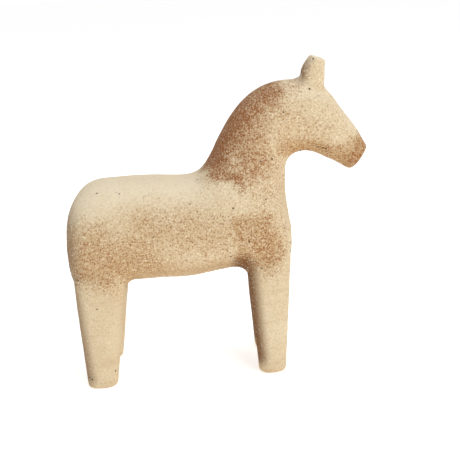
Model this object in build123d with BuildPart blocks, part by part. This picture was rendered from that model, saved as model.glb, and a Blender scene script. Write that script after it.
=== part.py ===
from build123d import *
from collections import namedtuple
from math import cos, pi, sin
import os

# Dala horse of coarse grogged stoneware, pressed hollow in a two-part plaster mould.
# Two half shells meet on the midline in a layer of slip.  The legs and the ears would
# lock the clay in the mould, so they are made apart and luted on, each on its own layer.
# Frame: the horse looks along +X, its left side is +Y, and its soles stand on Z = 0.

# ---- Driving dimensions, in millimetres ----
overall_length = 192.0      # rump to nose
overall_height = 196.9      # sole to ear tip
trunk_length = 142.0        # rump to front of the chest
back_height = 129.0
belly_height = 66.2
ears_above_poll = 13.4      # ear tips above the top of the neck

haunch_width = 60.0
shoulder_width = 55.0
neck_width = 44.0           # at the middle of the neck
head_width = 28.0           # across the cheeks
muzzle_width = 18.0

wall = 6.0                  # thickness of the pressed clay
slip = 0.8                  # thickness of each layer of joining slip
vent_diameter = 3.5         # hole in the belly that lets steam out in the kiln
vent_from_rump = 82.0

hind_stance_width = 59.0    # outer face to outer face of the hind legs
fore_stance_width = 53.0
leg_joint_drop = 4.0        # the legs are luted on this far below the belly
hip_height = 97.0           # the root of each leg rises this far into the trunk
hind_foot_from_rump = 14.8  # middle of the sole
hind_hip_from_rump = 21.6   # middle of the leg where it enters the trunk
hind_foot_length = 19.0
hind_hip_length = 38.0
fore_foot_from_chest = 17.4
fore_hip_from_chest = 15.2
fore_foot_length = 17.6
fore_hip_length = 30.6
foot_width = 16.6
hip_gap = 4.0               # between the roots of a pair of legs, inside the trunk
hip_tuck = 4.5              # how far the top of each leg root leans in under the flank
sole_edge_radius = 2.5

ear_gap = 1.4               # between the two ears at their joints
ear_thickness = 7.6
ear_tip_thickness = 5.6
ear_tip_length = 7.8
ear_joint_rise = 1.6        # the ears are luted on this far above the poll
ear_root_depth = 9.0        # how far each ear form is sunk into the head
ear_tip_from_nose = 28.3    # middle of the tip
ear_tip_slope = 2.8         # fall of the cut tip from its rear to its front edge

# ---- Places worked out from the driving dimensions ----
rump_x = -overall_length / 2
nose_x = overall_length / 2
chest_x = rump_x + trunk_length
leg_joint_height = belly_height - leg_joint_drop
poll_height = overall_height - ears_above_poll

Point = namedtuple("Point", "x z")
Station = namedtuple("Station", "crest keel width fullness")


def profile(along, up):
    """Point on the midline: along is 0 at the rump, 1 at the chest and 2 at the nose,
    up is 0 at the belly, 1 at the back and 2 at the poll."""
    if along <= 1:
        x = rump_x + along * trunk_length
    else:
        x = chest_x + (along - 1) * (nose_x - chest_x)
    if up <= 1:
        z = belly_height + up * (back_height - belly_height)
    else:
        z = back_height + (up - 1) * (poll_height - back_height)
    return Point(x, z)


# Cross-sections of the body, fanned out from the rump through the neck to the muzzle.
# Each has a point on the crest, a point on the keel, a width and a fullness, which is
# 2 for an ellipse and more for a squarer section.
body_stations = [
    Station(profile(0.000, 0.443), profile(0.000, 0.061), 0.30 * haunch_width, 2.4),
    Station(profile(0.017, 0.632), profile(0.012, -0.003), 0.60 * haunch_width, 2.4),
    Station(profile(0.049, 0.820), profile(0.046, -0.014), 0.87 * haunch_width, 2.5),
    Station(profile(0.115, 0.965), profile(0.127, -0.016), 1.00 * haunch_width, 2.5),
    Station(profile(0.239, 1.009), profile(0.268, -0.006), 1.01 * haunch_width, 2.5),
    Station(profile(0.423, 0.998), profile(0.423, -0.003), 0.97 * haunch_width, 2.5),
    Station(profile(0.563, 0.987), profile(0.592, 0.002), 1.03 * shoulder_width, 2.5),
    Station(profile(0.620, 1.050), profile(0.739, 0.041), 1.01 * shoulder_width, 2.5),
    Station(profile(0.655, 1.165), profile(0.887, 0.019), 1.00 * shoulder_width, 2.5),
    Station(profile(0.675, 1.250), profile(0.976, 0.116), 0.97 * shoulder_width, 2.4),
    Station(profile(0.693, 1.341), profile(0.999, 0.331), 0.93 * shoulder_width, 2.4),
    Station(profile(0.713, 1.433), profile(0.993, 0.570), 0.86 * shoulder_width, 2.3),
    Station(profile(0.738, 1.539), profile(0.984, 0.777), 1.02 * neck_width, 2.3),
    Station(profile(0.778, 1.683), profile(0.986, 0.952), 0.94 * neck_width, 2.3),
    Station(profile(0.852, 1.862), profile(0.993, 1.073), 0.86 * neck_width, 2.2),
    Station(profile(0.972, 1.987), profile(1.060, 1.165), 0.76 * neck_width, 2.2),
    Station(profile(1.240, 1.983), profile(1.170, 1.194), 1.08 * head_width, 2.2),
    Station(profile(1.498, 1.879), profile(1.310, 1.176), 1.02 * head_width, 2.2),
    Station(profile(1.666, 1.684), profile(1.472, 1.095), 0.92 * head_width, 2.2),
    Station(profile(1.836, 1.464), profile(1.652, 1.004), 1.18 * muzzle_width, 2.2),
    Station(profile(1.938, 1.306), profile(1.760, 0.955), 1.05 * muzzle_width, 2.3),
    Station(profile(2.000, 1.194), profile(1.824, 0.971), 0.90 * muzzle_width, 2.4),
]
solid_head_stations = 3     # from the jaw to the nose the head is solid


def between(start, end):
    """Vector from one midline point to another."""
    return Vector(end.x - start.x, 0, end.z - start.z)


def cross_plane(low, high):
    """Upright plane across the horse through two midline points, its Y from low to high."""
    middle = Vector((high.x + low.x) / 2, 0, (high.z + low.z) / 2)
    across = Vector(0, 1, 0)
    return Plane(origin=middle, x_dir=across, z_dir=across.cross(between(low, high)))


def oval_points(half_width, half_height, fullness, first_angle, last_angle, steps):
    """Points of a superellipse between two angles, which are counted from its right end."""
    points = []
    for step in range(steps + 1):
        angle = first_angle + (last_angle - first_angle) * step / steps
        across = abs(cos(angle)) ** (2 / fullness) * (1 if cos(angle) > 0 else -1)
        up = abs(sin(angle)) ** (2 / fullness) * (1 if sin(angle) > 0 else -1)
        points.append((half_width * across, half_height * up))
    return points


def drawn_in(point, toward, before, after, skin):
    """A midline point moved along its section, until it lies a skin's thickness inside the
    outline that runs through the points before and after it."""
    section = between(point, toward).normalized()
    outline = between(before, after).normalized()
    step = section * (skin / section.cross(outline).length)
    return Point(point.x + step.X, point.z + step.Z)


def hollow(stations, skin):
    """The stations between the first and the last, each drawn in by a skin's thickness."""
    inner = []
    for before, station, after in zip(stations, stations[1:], stations[2:]):
        crest = drawn_in(station.crest, station.keel, before.crest, after.crest, skin)
        keel = drawn_in(station.keel, station.crest, before.keel, after.keel, skin)
        inner.append(Station(crest, keel, station.width - 2 * skin, station.fullness))
    return inner


def half_body(stations):
    """Left half of a form through some stations, from its side to the slip on the midline."""
    with BuildPart() as form:
        for station in stations:
            half_height = between(station.keel, station.crest).length / 2
            points = oval_points(station.width / 2, half_height, station.fullness, pi / 2, -pi / 2, 8)
            points[0] = (slip / 2, half_height)
            points[-1] = (slip / 2, -half_height)
            with BuildSketch(cross_plane(station.keel, station.crest)):
                with BuildLine():
                    Spline(*points, tangents=[(1, 0), (-1, 0)])
                    Line(points[-1], points[0])
                make_face()
        loft()
    return form.part


def oval_section(plane, length, width, fullness=2.4):
    """Closed oval on a plane, with its width along the plane's X."""
    points = oval_points(width / 2, length / 2, fullness, 0, 2 * pi, 16)
    with BuildSketch(plane) as section:
        with BuildLine():
            Spline(*points[:-1], periodic=True)
        make_face()
    return section.sketch


def left_leg(foot_x, hip_x, foot_length, hip_length, stance_width):
    """Whole form of one left leg, from its sole up into the trunk."""
    hip_width = stance_width / 2 - hip_tuck - hip_gap / 2
    with BuildPart() as form:
        for height in (0.0, leg_joint_height / 2, leg_joint_height, hip_height):
            share = height / hip_height
            length = foot_length + (hip_length - foot_length) * share
            width = foot_width + (hip_width - foot_width) * share
            x = foot_x + (hip_x - foot_x) * share
            y = stance_width / 2 - width / 2 - hip_tuck * share ** 2
            plane = Plane(origin=(x, y, height), x_dir=(0, 1, 0), z_dir=(0, 0, 1))
            add(oval_section(plane, length, width))
        loft()
        fillet(form.edges().group_by(Axis.Z)[0], radius=sole_edge_radius)
    return form.part


poll = profile(1.215, 2.0)
brow = profile(1.488, 1.89)
ear_joint_rear = Point(poll.x, poll.z + ear_joint_rise)
ear_joint_front = Point(brow.x, brow.z + ear_joint_rise)


def left_ear():
    """Whole form of the left ear, from its root in the head to its cut tip."""
    tip_x = nose_x - ear_tip_from_nose
    tip_rear = Point(tip_x - ear_tip_length / 2, overall_height)
    tip_front = Point(tip_x + ear_tip_length / 2, overall_height - ear_tip_slope)
    rows = [
        (Point(poll.x, poll.z - ear_root_depth), Point(brow.x, brow.z - ear_root_depth), ear_thickness),
        (ear_joint_rear, ear_joint_front, ear_thickness),
        (tip_rear, tip_front, ear_tip_thickness),
    ]
    with BuildPart() as form:
        for rear, front, thickness in rows:
            plane = cross_plane(front, rear)
            plane.origin += Vector(0, ear_gap / 2 + ear_thickness / 2, 0)
            add(oval_section(plane, between(rear, front).length, thickness))
        loft()
    return form.part


def layer(form, low, high):
    """Slice of a form between two planes that face the same way."""
    with BuildPart() as slice_part:
        add(form)
        split(bisect_by=low, keep=Keep.TOP)
        split(bisect_by=high, keep=Keep.BOTTOM)
    return slice_part.part


def above(form, plane):
    """What a form has beyond a plane."""
    with BuildPart() as upper:
        add(form)
        split(bisect_by=plane, keep=Keep.TOP)
    return upper.part


def below(form, plane):
    """What a form has short of a plane."""
    with BuildPart() as lower:
        add(form)
        split(bisect_by=plane, keep=Keep.BOTTOM)
    return lower.part


def finish(part, name):
    """Label a finished piece and write it to its file."""
    part.label = name
    export_step(part, f"parts/{name}.step")


os.makedirs("parts", exist_ok=True)

# ---- Legs: solid, with a flat sole whose edge is rounded ----
leg_forms = {
    "hind": left_leg(rump_x + hind_foot_from_rump, rump_x + hind_hip_from_rump,
                     hind_foot_length, hind_hip_length, hind_stance_width),
    "fore": left_leg(chest_x - fore_foot_from_chest, chest_x - fore_hip_from_chest,
                     fore_foot_length, fore_hip_length, fore_stance_width),
}
leg_top = Plane.XY.offset(leg_joint_height - slip / 2)
trunk_seat = Plane.XY.offset(leg_joint_height + slip / 2)

for place, form in leg_forms.items():
    for side in ("left", "right"):
        with BuildPart() as leg:
            add(below(form, leg_top))
            if side == "right":
                mirror(about=Plane.XZ, mode=Mode.REPLACE)
        finish(leg.part, f"{place}_leg_{side}")
        with BuildPart() as leg_slip:
            add(layer(form, leg_top, trunk_seat))
            if side == "right":
                mirror(about=Plane.XZ, mode=Mode.REPLACE)
        finish(leg_slip.part, f"{place}_leg_slip_{side}")

# ---- Ears: small solid stubs, cut off flat at the tip ----
ear_form = left_ear()
ear_joint = cross_plane(ear_joint_front, ear_joint_rear)
ear_base = ear_joint.offset(slip / 2)
ear_seat = ear_joint.offset(-slip / 2)

for side in ("left", "right"):
    with BuildPart() as ear:
        add(above(ear_form, ear_base))
        if side == "right":
            mirror(about=Plane.XZ, mode=Mode.REPLACE)
    finish(ear.part, f"ear_{side}")
    with BuildPart() as ear_slip:
        add(layer(ear_form, ear_seat, ear_base))
        if side == "right":
            mirror(about=Plane.XZ, mode=Mode.REPLACE)
    finish(ear_slip.part, f"ear_slip_{side}")

# ---- Half shells: hollow body, neck and cheeks, with the roots of the legs and ears ----
with BuildPart() as left_half_shell:
    add(half_body(body_stations))
    for form in leg_forms.values():
        add(above(form, trunk_seat))
    add(below(ear_form, ear_seat))
    add(half_body(hollow(body_stations[1:-solid_head_stations], wall)), mode=Mode.SUBTRACT)
    with Locations((rump_x + vent_from_rump, 0, belly_height)):
        Cylinder(vent_diameter / 2, 4 * wall, mode=Mode.SUBTRACT)
finish(left_half_shell.part, "left_half_shell")

with BuildPart() as right_half_shell:
    add(left_half_shell.part)
    mirror(about=Plane.XZ, mode=Mode.REPLACE)
finish(right_half_shell.part, "right_half_shell")

# ---- Seam slip: the layer that joins the halves, all round the rim of the wall ----
rim_plane = Plane.XZ.offset(-slip / 2)
with BuildPart() as seam_slip:
    for rim in left_half_shell.faces().filter_by(rim_plane).filter_by_position(Axis.Y, 0, slip):
        extrude(rim, amount=slip, dir=(0, -1, 0))
finish(seam_slip.part, "seam_slip")
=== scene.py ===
import math

import bmesh
import bpy
import numpy as np
from mathutils import Matrix, Vector, noise
from mathutils.bvhtree import BVHTree
from mathutils.interpolate import poly_3d_calc


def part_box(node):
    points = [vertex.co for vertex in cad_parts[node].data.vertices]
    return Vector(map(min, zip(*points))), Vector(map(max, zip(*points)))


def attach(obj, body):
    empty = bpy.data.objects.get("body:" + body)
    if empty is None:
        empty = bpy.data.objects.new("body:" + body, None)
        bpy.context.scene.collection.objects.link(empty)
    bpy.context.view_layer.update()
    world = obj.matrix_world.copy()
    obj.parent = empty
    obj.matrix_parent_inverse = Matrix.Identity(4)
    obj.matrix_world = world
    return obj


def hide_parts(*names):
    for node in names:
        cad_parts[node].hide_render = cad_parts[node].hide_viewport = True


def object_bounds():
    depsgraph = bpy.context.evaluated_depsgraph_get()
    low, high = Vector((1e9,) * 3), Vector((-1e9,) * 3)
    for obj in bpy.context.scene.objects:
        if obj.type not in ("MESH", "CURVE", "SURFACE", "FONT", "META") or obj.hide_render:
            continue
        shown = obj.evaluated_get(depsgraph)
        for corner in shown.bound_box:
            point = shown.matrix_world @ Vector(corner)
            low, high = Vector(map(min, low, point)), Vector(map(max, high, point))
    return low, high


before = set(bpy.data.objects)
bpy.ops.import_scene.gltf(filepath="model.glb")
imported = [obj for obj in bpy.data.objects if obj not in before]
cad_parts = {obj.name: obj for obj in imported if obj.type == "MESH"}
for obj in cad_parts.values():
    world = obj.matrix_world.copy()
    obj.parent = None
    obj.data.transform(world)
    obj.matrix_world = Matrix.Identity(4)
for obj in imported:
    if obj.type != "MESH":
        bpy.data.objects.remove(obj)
cad_box = [list(corner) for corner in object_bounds()]
MM = 0.001

# ---- The leather-hard horse ----
# Coarse grogged stoneware, pressed in two halves, with the legs and ears luted on.  While it is
# leather-hard the potter fills the creases at every joint with slip and sponges the whole
# horse over, so one skin runs across all the joints.  Each piece below is cut from this form.

GRAIN = 0.75 * MM               # spacing of the points of the skin
CREASE_FILL = 520               # passes with the sponge over the creases
SPONGE_PASSES = 26              # passes over everything
CREASE_DEPTH = 0.045 * MM       # a point this far below its neighbours lies in a crease
CREASE_REACH = 34               # rings of points round a crease that are filled with it
HAND_WAVES = ((21 * MM, 0.34 * MM), (8 * MM, 0.10 * MM), (2.6 * MM, 0.05 * MM))
VENT_RADIUS = 1.75 * MM
VENT_FROM_RUMP = 82 * MM
VENT_REACH = 12 * MM            # how far the vent runs up from the belly, into the hollow

vent_x = cad_box[0][0] + VENT_FROM_RUMP


def mesh_object(name, mesh):
    """An object for a mesh, in the scene."""
    thing = bpy.data.objects.new(name, mesh)
    bpy.context.scene.collection.objects.link(thing)
    return thing


def discard(thing):
    """Takes an object out of the scene, with its mesh."""
    mesh = thing.data
    bpy.data.objects.remove(thing)
    bpy.data.meshes.remove(mesh)


def applied(thing, kind, **settings):
    """Puts one modifier on an object and applies it."""
    modifier = thing.modifiers.new(kind, kind)
    for name, value in settings.items():
        setattr(modifier, name, value)
    view = bpy.context.evaluated_depsgraph_get()
    mesh = bpy.data.meshes.new_from_object(thing.evaluated_get(view))
    thing.modifiers.clear()
    old = thing.data
    thing.data = mesh
    bpy.data.meshes.remove(old)
    return thing


def peg(radius, mouth, low, high, sides=40):
    """An upright round peg on the vent's axis, flared at its low end."""
    shape = bmesh.new()
    outline = ((low, mouth), (belly_z - 0.2 * MM, mouth), (belly_z + 0.9 * MM, radius), (high, radius))
    rings = []
    for height, size in outline:
        ring = []
        for step in range(sides):
            turn = 2 * math.pi * step / sides
            ring.append(shape.verts.new((vent_x + size * math.cos(turn), size * math.sin(turn), height)))
        rings.append(ring)
    for lower, upper in zip(rings, rings[1:]):
        for step in range(sides):
            after = (step + 1) % sides
            shape.faces.new((lower[step], lower[after], upper[after], upper[step]))
    shape.faces.new(rings[0][::-1])
    shape.faces.new(rings[-1])
    mesh = bpy.data.meshes.new("peg")
    shape.to_mesh(mesh)
    shape.free()
    return mesh_object("peg", mesh)


def piece_shape(name):
    """The shape of one piece of the frame, with its points joined up."""
    shape = bmesh.new()
    shape.from_mesh(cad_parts[name].data)
    bmesh.ops.remove_doubles(shape, verts=shape.verts, dist=1e-6)
    return shape


def belly_height():
    """Height of the belly beside the vent."""
    shape = piece_shape("left_half_shell")
    below = Vector((vent_x + 0.1 * MM, VENT_RADIUS * 2.1, 0))
    height = BVHTree.FromBMesh(shape).ray_cast(below, Vector((0, 0, 1)))[0].z
    shape.free()
    return height


def blank():
    """All the pieces of the frame as one mesh, with the vent stopped up."""
    joined = bpy.data.meshes.new("leather_hard_horse")
    shape = bmesh.new()
    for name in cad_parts:
        piece = piece_shape(name)
        piece.to_mesh(joined)
        piece.free()
        shape.from_mesh(joined)
    stopper = peg(VENT_RADIUS * 1.3, VENT_RADIUS * 1.3, belly_z + 1 * MM, belly_z + 9 * MM)
    shape.from_mesh(stopper.data)
    discard(stopper)
    shape.to_mesh(joined)
    shape.free()
    return mesh_object("leather_hard_horse", joined)


def points_of(mesh):
    """The points of a mesh as an array."""
    flat = np.zeros(len(mesh.vertices) * 3)
    mesh.vertices.foreach_get("co", flat)
    return flat.reshape(-1, 3)


def normals_of(mesh, points):
    """The outward directions at the points, after they have been moved."""
    mesh.vertices.foreach_set("co", points.ravel())
    mesh.update()
    flat = np.zeros(len(points) * 3, np.float32)
    mesh.vertex_normals.foreach_get("vector", flat)
    return flat.reshape(-1, 3).astype(float)


def sponge(mesh):
    """Fills the creases, then smooths the whole skin without shrinking it."""
    edges = np.zeros(len(mesh.edges) * 2, np.int32)
    mesh.edges.foreach_get("vertices", edges)
    start, end = edges.reshape(-1, 2).T
    count = np.bincount(start, minlength=len(mesh.vertices)) + np.bincount(end, minlength=len(mesh.vertices))

    def spread(values):
        total = np.bincount(start, values[end], len(values)) + np.bincount(end, values[start], len(values))
        return total / count

    def mean(points):
        return np.stack([spread(points[:, axis]) for axis in range(3)], 1)

    def smoothed(points, passes):
        for _ in range(passes):
            points = points + 0.50 * (mean(points) - points)
            points = points - 0.52 * (mean(points) - points)
        return points

    points = smoothed(points_of(mesh), 6)
    normals = normals_of(mesh, points)
    hollow = np.einsum("ij,ij->i", mean(points) - points, normals)
    crease = (hollow > CREASE_DEPTH).astype(float)
    for _ in range(CREASE_REACH):
        crease = np.maximum(crease, spread(crease))
    crease = np.clip(crease * 1.6, 0, 1)
    for turn in range(CREASE_FILL):
        if turn % 10 == 0:
            normals = normals_of(mesh, points)
        step = mean(points) - points
        outward = np.einsum("ij,ij->i", step, normals)
        share = crease * np.where(outward > 0, 0.7, 0.12)
        points = points + step * share[:, None]
    points = smoothed(points, SPONGE_PASSES)
    normals = normals_of(mesh, points)
    lift = np.zeros(len(points))
    for wave, height in HAND_WAVES:
        lift += height * np.array([noise.noise(Vector(point / wave)) for point in points])
    points = points + normals * lift[:, None]
    points[:, 2] = np.maximum(points[:, 2], 0.0)
    mesh.vertices.foreach_set("co", points.ravel())
    mesh.update()


belly_z = belly_height()
horse = applied(blank(), "REMESH", mode="VOXEL", voxel_size=GRAIN)
rough_skin = BVHTree.FromObject(horse, bpy.context.evaluated_depsgraph_get())
sponge(horse.data)
skin = BVHTree.FromObject(horse, bpy.context.evaluated_depsgraph_get())

# ---- Half shells ----
# Two pressed halves, about 6 mm of clay over a hollow that runs from the rump to the
# jaw.  They carry the roots of the legs and ears, and meet on the midline.

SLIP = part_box("seam_slip")[1].y * 2
leg_seat = Vector((0, 0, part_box("right_half_shell")[0].z))
leg_top = Vector((0, 0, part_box("hind_leg_right")[1].z))
UP = Vector((0, 0, 1))
LEFT = Vector((0, 1, 0))
ON_PLANE = 0.02 * MM            # a point this near a cut counts as on it
ON_SKIN = 0.05 * MM             # a face this near the skin is part of it
OUTER_LAYER = 2.2 * MM          # faces less deep than this are outside ones, not the hollow's


def slanting_underside(name):
    """A point on the flat underside of an ear or its slip, and the direction it faces away from."""
    faces = [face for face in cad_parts[name].data.polygons if face.normal.z < -0.5]
    widest = max(faces, key=lambda face: face.area)
    return widest.center.copy(), -widest.normal


ear_seat = slanting_underside("ear_slip_right")[0]
ear_base, ear_up = slanting_underside("ear_right")


def cut(stock, *planes):
    """A copy of a closed shape with what lies beyond each plane taken off, and the cuts closed."""
    shape = stock.copy()
    for point, outward in planes:
        everything = shape.verts[:] + shape.edges[:] + shape.faces[:]
        bmesh.ops.bisect_plane(
            shape, geom=everything, plane_co=point, plane_no=outward, clear_outer=True, dist=1e-7
        )
        rim = [edge for edge in shape.edges if edge.is_boundary]
        bmesh.ops.holes_fill(shape, edges=rim, sides=0)
    return shape


def keep_largest(shape):
    """Leaves only the largest of the separate surfaces of a shape."""
    left = set(shape.faces)
    groups = []
    while left:
        front = [left.pop()]
        group = set(front)
        while front:
            fresh = {face for edge in front.pop().edges for face in edge.link_faces} & left
            left -= fresh
            group |= fresh
            front.extend(fresh)
        groups.append(group)
    largest = max(groups, key=len)
    stray = [face for group in groups if group is not largest for face in group]
    bmesh.ops.delete(shape, geom=stray, context="FACES")


def hollow():
    """The space inside the horse as a closed solid, taken from the left half and its mirror."""
    shape = piece_shape("left_half_shell")
    outside = []
    for face in shape.faces:
        middle = face.calc_center_median()
        under_skin = rough_skin.find_nearest(middle)[3]
        from_axis = math.hypot(middle.x - vent_x, middle.y)
        beside_vent = from_axis < VENT_RADIUS * 1.2 and middle.z < belly_z + VENT_REACH
        on_rim = all(abs(point.co.y - SLIP / 2) < ON_PLANE for point in face.verts)
        if under_skin < OUTER_LAYER or beside_vent or on_rim:
            outside.append(face)
    bmesh.ops.delete(shape, geom=outside, context="FACES")
    keep_largest(shape)
    for point in shape.verts:
        if abs(point.co.y - SLIP / 2) < ON_PLANE:
            point.co.y = 0.0
    everything = shape.verts[:] + shape.edges[:] + shape.faces[:]
    bmesh.ops.mirror(shape, geom=everything, axis="Y", merge_dist=1e-6)
    bmesh.ops.remove_doubles(shape, verts=shape.verts, dist=1e-6)
    bmesh.ops.holes_fill(shape, edges=[edge for edge in shape.edges if edge.is_boundary], sides=0)
    bmesh.ops.recalc_face_normals(shape, faces=shape.faces)
    mesh = bpy.data.meshes.new("hollow")
    shape.to_mesh(mesh)
    shape.free()
    return mesh_object("hollow", mesh)


def shade(mesh):
    """Shades a piece as part of the one sponged skin, and every cut and inner face flat."""
    normals = []
    for face in mesh.polygons:
        _, way, _, distance = skin.find_nearest(face.center)
        on_skin = distance < ON_SKIN and way.dot(face.normal) > 0.7
        for index in face.vertices:
            normal = face.normal
            if on_skin:
                point = mesh.vertices[index].co
                nearest = skin.find_nearest(point)[2]
                corners = [horse.data.vertices[corner] for corner in horse.data.polygons[nearest].vertices]
                shares = poly_3d_calc([corner.co for corner in corners], point)
                normal = sum((corner.normal * share for corner, share in zip(corners, shares)), Vector())
            normals.append(normal.normalized())
    mesh.shade_smooth()
    mesh.normals_split_custom_set(normals)


def piece(name, shape, material, slot, holes=()):
    """Makes one finished piece from a cut shape, in place of the frame's piece of that name."""
    mesh = bpy.data.meshes.new(name + "_skin")
    shape.to_mesh(mesh)
    thing = mesh_object(name + "_skin", mesh)
    for hole in holes:
        applied(thing, "BOOLEAN", operation="DIFFERENCE", solver="MANIFOLD", object=hole)
    shade(thing.data)
    thing.data.materials.clear()
    thing.data.materials.append(material)
    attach(thing, "root")
    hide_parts(name)


def tone(red, green, blue):
    """A colour written in the usual 0 to 255 steps, as the light it gives back."""
    steps = [step / 255 for step in (red, green, blue)]
    return (*[step / 12.92 if step <= 0.04045 else ((step + 0.055) / 1.055) ** 2.4 for step in steps], 1.0)


class Wash:
    """A value, colour or direction in a material; sums on values add Math nodes."""

    def __init__(self, tree, socket):
        self.tree = tree
        self.socket = socket

    def node(self, kind, settings, values, output=0):
        """Adds a node with its settings, then its socket values, and returns one output."""
        made = self.tree.nodes.new(kind)
        for name, value in settings.items():
            setattr(made, name, value)
        for name, value in values.items():
            socket = made.inputs[name]
            if isinstance(value, Wash):
                self.tree.links.new(value.socket, socket)
            else:
                socket.default_value = value
        return Wash(self.tree, made.outputs[output])

    def maths(self, operation, *others):
        return self.node("ShaderNodeMath", {"operation": operation}, dict(enumerate((self, *others))))

    def __add__(self, other):
        return self.maths("ADD", other)

    __radd__ = __add__

    def __mul__(self, other):
        return self.maths("MULTIPLY", other)

    __rmul__ = __mul__

    def __sub__(self, other):
        return self.maths("SUBTRACT", other)

    def __rsub__(self, other):
        return self.node("ShaderNodeMath", {"operation": "SUBTRACT"}, {0: other, 1: self})

    def __truediv__(self, other):
        return self.maths("DIVIDE", other)

    def between(self, low, high):
        """0 below low and 1 above high, with an even swell in between."""
        settings = {"interpolation_type": "SMOOTHSTEP"}
        return self.node("ShaderNodeMapRange", settings, {"Value": self, "From Min": low, "From Max": high})

    def over(self, colour, amount):
        """This colour with another brushed over it by an amount."""
        settings = {"data_type": "RGBA"}
        return self.node("ShaderNodeMix", settings, {0: amount, 6: self, 7: colour}, output=2)

    def noise(self, size, detail, shift):
        """Soft mottling of about that many millimetres, on a place in millimetres."""
        place = self.node("ShaderNodeVectorMath", {"operation": "ADD"}, {0: self, 1: (shift, shift, shift)})
        values = {"Vector": place, "Scale": 1 / size, "Detail": detail, "Roughness": 0.55}
        return self.node("ShaderNodeTexNoise", {}, values)

    def stroke(self, start, end, width, edge):
        """1 on a brushed stroke between two places seen from the side, fading out over its edge."""
        start = Vector((start[0], 0, start[1]))
        along = Vector((end[0], 0, end[1])) - start
        away = self.node("ShaderNodeVectorMath", {"operation": "SUBTRACT"}, {0: self, 1: start})
        share = self.node("ShaderNodeVectorMath", {"operation": "DOT_PRODUCT"}, {0: away, 1: along}, output=1)
        share = (share / along.length_squared).maths("MAXIMUM", 0.0).maths("MINIMUM", 1.0)
        reach = self.node("ShaderNodeVectorMath", {"operation": "SCALE"}, {0: along, "Scale": share})
        left = self.node("ShaderNodeVectorMath", {"operation": "DISTANCE"}, {0: away, 1: reach}, output=1)
        return 1 - left.between(width, width + edge)


CREAM = tone(219, 202, 170)
BUFF = tone(210, 189, 154)
SAND = tone(180, 145, 100)
RUST = tone(150, 98, 52)
UMBER = tone(130, 70, 32)
# The brown of the painted shade on the rear edges.
SHADE_BROWN = tone(112, 72, 38)
# The pale of the grains, and of the painted highlight on the tops.
PALE_GRAIN_AND_HIGHLIGHT = tone(240, 228, 202)
IRON = tone(52, 34, 22)

# Where the iron wash was sponged on, as strokes in millimetres along the horse and up from the
# ground: start, end, half width, fading edge, strength.
HAUNCH_AND_SHOULDER = (
    ((-76, 92), (-60, 82), 2, 27, 0.85),
    ((-50, 92), (-42, 80), 1, 20, 0.75),
    ((-84, 78), (-70, 74), 1, 14, 0.8),
    ((-40, 102), (0, 96), 2, 26, 0.55),
    ((-50, 80), (0, 74), 1, 12, 0.4),
    ((25, 98), (28, 82), 2, 19, 1.1),
    ((12.5, 104), (14.5, 80), 0, 9, 1.0),
    ((18, 76), (27, 73), 1, 11, 0.5),
    ((30, 140), (34, 122), 2, 26, 0.45),
    ((40, 160), (62, 150), 3, 24, 0.42),
    ((66, 140), (86, 133), 1, 11, 1.0),
    ((86, 136), (93, 142), 2, 12, 1.0),
    ((45, 144), (64, 141), 1, 10, 1.0),
)
CREST = (
    ((1, 137), (8, 152), 3, 14, 1.0),
    ((8, 152), (18, 165), 5, 17, 1.0),
    ((18, 165), (36, 178), 4, 14, 0.95),
    ((2, 134), (16, 129), 2, 9, 0.9),
    ((20, 158), (22, 138), 3, 20, 0.8),
    ((36, 178), (52, 181), 1, 9, 0.5),
    ((83, 130), (94, 139), 1, 9, 0.75),
    ((47, 142), (60, 141), 0, 7, 0.5),
)
DARKEST = (
    ((0, 138), (9, 157), 1, 9, 1.0),
    ((9, 157), (22, 171), 2, 9, 0.9),
    ((22, 171), (40, 180), 1, 7, 0.8),
    ((2, 133), (14, 129), 0, 6, 0.5),
    ((61, 194), (54, 182), 0, 5, 0.7),
    ((84, 130), (90, 132), 0, 6, 0.9),
)
# Painted shade along the rear edges of the legs, the rump and an ear, where they turn away from the light, in
# the same form.
PAINTED_SHADE_EDGES = (
    ((14.2, 74), (17.6, 12), 2.2, 9, 1.1),
    ((-96, 84), (-90.5, 8), 0.5, 9, 0.8),
    ((-98, 116), (-98, 80), 3, 15, 0.85),
    ((-58, 62), (-66, 10), 0, 4, 0.2),
    ((56, 184), (61, 197), 0, 6, 0.7),
)


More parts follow.
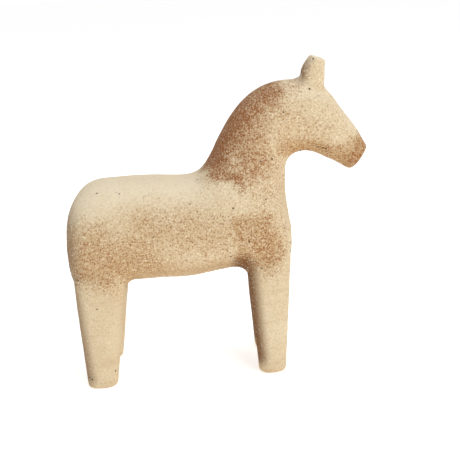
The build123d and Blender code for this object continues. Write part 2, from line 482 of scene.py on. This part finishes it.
def stoneware(name):
    """Bare fired clay with grog all through it and iron wash sponged over it, with painted shade and a
    painted highlight.
    """
    material = bpy.data.materials.new(name)
    material.use_nodes = True
    tree = material.node_tree
    body = tree.nodes["Principled BSDF"]
    metres = Wash(tree, tree.nodes.new("ShaderNodeTexCoord").outputs["Object"])
    place = metres.node("ShaderNodeVectorMath", {"operation": "SCALE"}, {0: metres, "Scale": 1 / MM})
    side = place.node("ShaderNodeVectorMath", {"operation": "MULTIPLY"}, {0: place, 1: (1, 0, 1)})
    height = place.node("ShaderNodeSeparateXYZ", {}, {0: place}, output=2)
    wander = place.node("ShaderNodeTexNoise", {}, {"Vector": place, "Scale": 1 / 9, "Detail": 3.0}, output=1)
    wander = place.node("ShaderNodeVectorMath", {"operation": "SUBTRACT"}, {0: wander, 1: (0.5, 0.5, 0.5)})
    wander = place.node("ShaderNodeVectorMath", {"operation": "MULTIPLY"}, {0: wander, 1: (13, 0, 13)})
    brushed = side.node("ShaderNodeVectorMath", {"operation": "ADD"}, {0: side, 1: wander})

    def strokes(where, marks):
        """How much wash the strokes left at a place, from 0 to 1."""
        total = None
        for start, end, width, edge, strength in marks:
            mark = where.stroke(start, end, width, edge) * strength
            total = mark if total is None else total.maths("MAXIMUM", mark)
        return total

    def grains(size, shift):
        """Grains of about that size: how far inside a grain, and a chance from 0 to 1 for each."""
        moved = place.node("ShaderNodeVectorMath", {"operation": "ADD"}, {0: place, 1: (shift, shift, shift)})
        values = {"Vector": moved, "Scale": 1 / size}
        away = moved.node("ShaderNodeTexVoronoi", {}, values)
        colour = moved.node("ShaderNodeTexVoronoi", {}, values, output=1)
        return 1 - away.between(0.25, 0.55), moved.node("ShaderNodeSeparateColor", {}, {0: colour})

    legs = 1 - height.between(54.0, 70.0)
    sponged = strokes(brushed, HAUNCH_AND_SHOULDER)
    crest = strokes(brushed, CREST)
    darkest = strokes(brushed, DARKEST)
    # Painted shade on the rear edges, without the wander.
    edges = strokes(side, PAINTED_SHADE_EDGES)
    # Which way each face turns, up or down, for the painted highlight and the painted shade.
    outward = place.node("ShaderNodeNewGeometry", {}, {}, output=1)
    facing = place.node("ShaderNodeSeparateXYZ", {}, {0: outward}, output=2)
    up = facing.between(0.1, 0.95)
    painted_shade_below = 1 - facing.between(-0.9, -0.05)
    washed = sponged.maths("MAXIMUM", crest)
    grit = place.noise(1.1, 2, 40) - 0.5
    fine = place.noise(0.6, 2, 70) - 0.5

    broad = place.noise(30, 2, 11).between(0.3, 0.72)
    clay = place.node("ShaderNodeMix", {"data_type": "RGBA"}, {0: broad, 6: CREAM, 7: BUFF}, output=2)
    clay = clay.over(SAND, (grit * 1.5 + fine * 0.8 + 0.12).maths("MAXIMUM", 0.0) * (1 - legs * 0.6))
    clay = clay.over(SAND, (sponged + grit * 1.1).between(-0.05, 1.15) * 0.78)
    clay = clay.over(RUST, (crest + grit * 1.5 + fine).between(0.15, 1.3) * 0.76)
    clay = clay.over(UMBER, (darkest + grit * 1.6 + fine).between(0.2, 1.3) * 0.66)
    # Painted shade on the faces that turn downward, under the belly.
    clay = clay.over(SAND, painted_shade_below * 0.62)
    # Painted shade: the rear edges browned.
    clay = clay.over(SHADE_BROWN, edges * 0.85)
    # Painted highlight: the faces that turn upward made paler where there is no wash.
    clay = clay.over(PALE_GRAIN_AND_HIGHLIGHT, up * (1 - washed) * 0.6)

    loose = washed * 0.38 + 0.16
    # Fewer grains on the legs, and on the upward faces under the painted highlight.
    calm = 1 - legs * 0.45 - up * (1 - washed) * 0.45
    for size, shift, share in ((1.5, 3.0, 0.9), (0.95, 19.0, 0.9), (1.15, 47.0, 0.8)):
        inside, chance = grains(size, shift)
        dark = inside * ((loose - chance) * 7.0).maths("MINIMUM", 1.0).maths("MAXIMUM", 0.0)
        pale = inside * (chance - 0.76).between(0.0, 0.12) * (1 - crest * 0.45)
        clay = clay.over(RUST, dark * (washed * 0.36 + 0.4) * share * calm)
        clay = clay.over(UMBER, dark * crest.maths("MAXIMUM", sponged * 0.5) * 0.55)
        clay = clay.over(PALE_GRAIN_AND_HIGHLIGHT, pale * 0.42 * share * calm)
    specks, chance = grains(1.7, 31.0)
    clay = clay.over(IRON, specks * (1 - chance.between(0.006, 0.008)) * 0.85)
    wiped = place.node("ShaderNodeVectorMath", {"operation": "MULTIPLY"}, {0: place, 1: (0.15, 0.15, 1.0)})
    lines = wiped.noise(2.4, 2, 5)
    clay = clay.over(SAND, lines.between(0.5, 0.78) * legs * 0.28)

    relief = grit * 0.6 + fine * 0.35 + pale * 0.3 - dark * 0.4 + lines * legs * 0.25
    bump = place.node("ShaderNodeBump", {}, {"Height": relief, "Distance": 0.2 * MM, "Strength": 0.8})
    tree.links.new(clay.socket, body.inputs["Base Color"])
    tree.links.new((0.9 - grit * 0.2).socket, body.inputs["Roughness"])
    tree.links.new(bump.socket, body.inputs["Normal"])
    body.inputs["Specular IOR Level"].default_value = 0.2
    return material


pressed_clay = stoneware("pressed_stoneware")
core = hollow()
vent = peg(VENT_RADIUS, VENT_RADIUS * 1.35, belly_z - 4 * MM, belly_z + VENT_REACH)
whole = bmesh.new()
whole.from_mesh(horse.data)
trunk = cut(whole, (leg_seat, -UP), (ear_seat, ear_up))
for side, name in ((-1, "right_half_shell"), (1, "left_half_shell")):
    half = cut(trunk, (LEFT * side * SLIP / 2, -side * LEFT))
    piece(name, half, pressed_clay, "stoneware", holes=(core, vent))

# ---- Seam slip ----
# A smear of thin clay, under a millimetre, that glues the two halves along the midline all the
# way round the rim.  It is wiped flush outside, and the vent was bored through it afterwards.

wiped_slip = stoneware("wiped_slip")
seam = cut(trunk, (LEFT * SLIP / 2, LEFT), (-LEFT * SLIP / 2, -LEFT))
piece("seam_slip", seam, wiped_slip, "joining_slip", holes=(core, vent))

# ---- Legs ----
# Four solid legs of the same clay, rolled and beaten to a soft oval that narrows to a flat foot.
# Each is luted to its root on the body with a smear of slip, and the joint is sponged away.

stance = cut(whole, (leg_top, UP))
smears = cut(whole, (leg_seat, UP), (leg_top, -UP))
between_legs = Vector((vent_x, 0, 0))
for along, part in ((-1, "hind_leg"), (1, "fore_leg")):
    for side, hand in ((-1, "right"), (1, "left")):
        planes = ((between_legs, Vector((-along, 0, 0))), (Vector(), -side * LEFT))
        piece(f"{part}_{hand}", cut(stance, *planes), pressed_clay, "stoneware")
        piece(f"{part}_slip_{hand}", cut(smears, *planes), wiped_slip, "joining_slip")

# ---- Ears ----
# Two blunt solid ears, pinched out of clay and luted side by side on the poll, leaning a little
# forward.  Their slip is wiped into the poll.

tips = cut(whole, (ear_base, -ear_up))
pads = cut(whole, (ear_base, ear_up), (ear_seat, -ear_up))
EAR_GAP = 0.7 * MM
for side, hand in ((-1, "right"), (1, "left")):
    inner = (LEFT * side * EAR_GAP / 2, -side * LEFT)
    piece(f"ear_{hand}", cut(tips, inner), pressed_clay, "stoneware")
    piece(f"ear_slip_{hand}", cut(pads, inner), wiped_slip, "joining_slip")
for done in (core, vent, horse):
    discard(done)

# ---- Table, lights and camera ----
# A white lit acrylic table in a white room, inside a white tent that only the camera sees.
# A soft lamp stands in front on the right, and a wider, weaker one hangs overhead.  The camera
# looks a little down on the horse's right side.

TABLE_RADIUS = 9.0
TENT_RADIUS = 8.9
TABLE_GLOW = 0.5
TENT_GLOW = 1.1
ROOM_GLOW = 0.52
LENS = 66.52

material = bpy.data.materials.new("opal_acrylic")
material.use_nodes = True
acrylic = material.node_tree.nodes["Principled BSDF"]
acrylic.inputs["Base Color"].default_value = (0.93, 0.93, 0.93, 1)
acrylic.inputs["Roughness"].default_value = 0.6
acrylic.inputs["Emission Color"].default_value = (1, 1, 1, 1)
acrylic.inputs["Emission Strength"].default_value = TABLE_GLOW
sheet = bmesh.new()
bmesh.ops.create_circle(sheet, cap_ends=True, segments=96, radius=TABLE_RADIUS)
mesh = bpy.data.meshes.new("table_top")
sheet.to_mesh(mesh)
sheet.free()
mesh.materials.append(material)
table_top = mesh_object("table_top", mesh)

material = bpy.data.materials.new("backdrop_white")
material.use_nodes = True
paint = material.node_tree.nodes["Principled BSDF"]
paint.inputs["Base Color"].default_value = (0, 0, 0, 1)
paint.inputs["Emission Color"].default_value = (1, 1, 1, 1)
paint.inputs["Emission Strength"].default_value = TENT_GLOW
tent = bmesh.new()
bmesh.ops.create_uvsphere(tent, u_segments=64, v_segments=32, radius=TENT_RADIUS)
mesh = bpy.data.meshes.new("white_tent")
tent.to_mesh(mesh)
tent.free()
mesh.materials.append(material)
white_tent = mesh_object("white_tent", mesh)
for rays in ("diffuse", "glossy", "transmission", "shadow"):
    setattr(white_tent, "visible_" + rays, False)

world = bpy.data.worlds.new("white_room")
bpy.context.scene.world = world
world.use_nodes = True
world.node_tree.nodes["Background"].inputs["Color"].default_value = (1, 1, 1, 1)
world.node_tree.nodes["Background"].inputs["Strength"].default_value = ROOM_GLOW
bpy.context.scene.view_settings.view_transform = "Standard"


def lamp(name, place, aim, size, watts):
    """A square soft lamp at a place, facing its aim."""
    light = bpy.data.lights.new(name, "AREA")
    light.size = size
    light.energy = watts
    thing = bpy.data.objects.new(name, light)
    bpy.context.scene.collection.objects.link(thing)
    thing.location = place
    thing.rotation_euler = (Vector(aim) - Vector(place)).to_track_quat("-Z", "Y").to_euler()


lamp("key_lamp", (0.8, -1.05, 0.9), (0, 0, 0.1), 0.6, 8.6)
lamp("top_lamp", (0.0, 0.2, 1.4), (0, 0, 0.1), 0.9, 5.2)

CAMERA_TARGET = Vector((7.57, 0, 90.5)) * MM
CAMERA_DISTANCE = 544 * MM
azimuth, elevation, roll = (math.radians(angle) for angle in (-1.2, 17.4, 4.0))
level = Vector((math.sin(azimuth), -math.cos(azimuth), 0))
back = level * math.cos(elevation) + UP * math.sin(elevation)
across = Vector((math.cos(azimuth), math.sin(azimuth), 0))
upward = back.cross(across)
turned = math.cos(roll) * across - math.sin(roll) * upward
raised = math.sin(roll) * across + math.cos(roll) * upward
camera = bpy.data.objects.new("camera", bpy.data.cameras.new("camera"))
bpy.context.scene.collection.objects.link(camera)
camera.data.lens = LENS
camera.data.sensor_width = 36
camera.data.clip_start = 0.01
facing = Matrix((turned, raised, back)).transposed().to_4x4()
facing.translation = CAMERA_TARGET + back * CAMERA_DISTANCE
camera.matrix_world = facing
bpy.context.scene.camera = camera
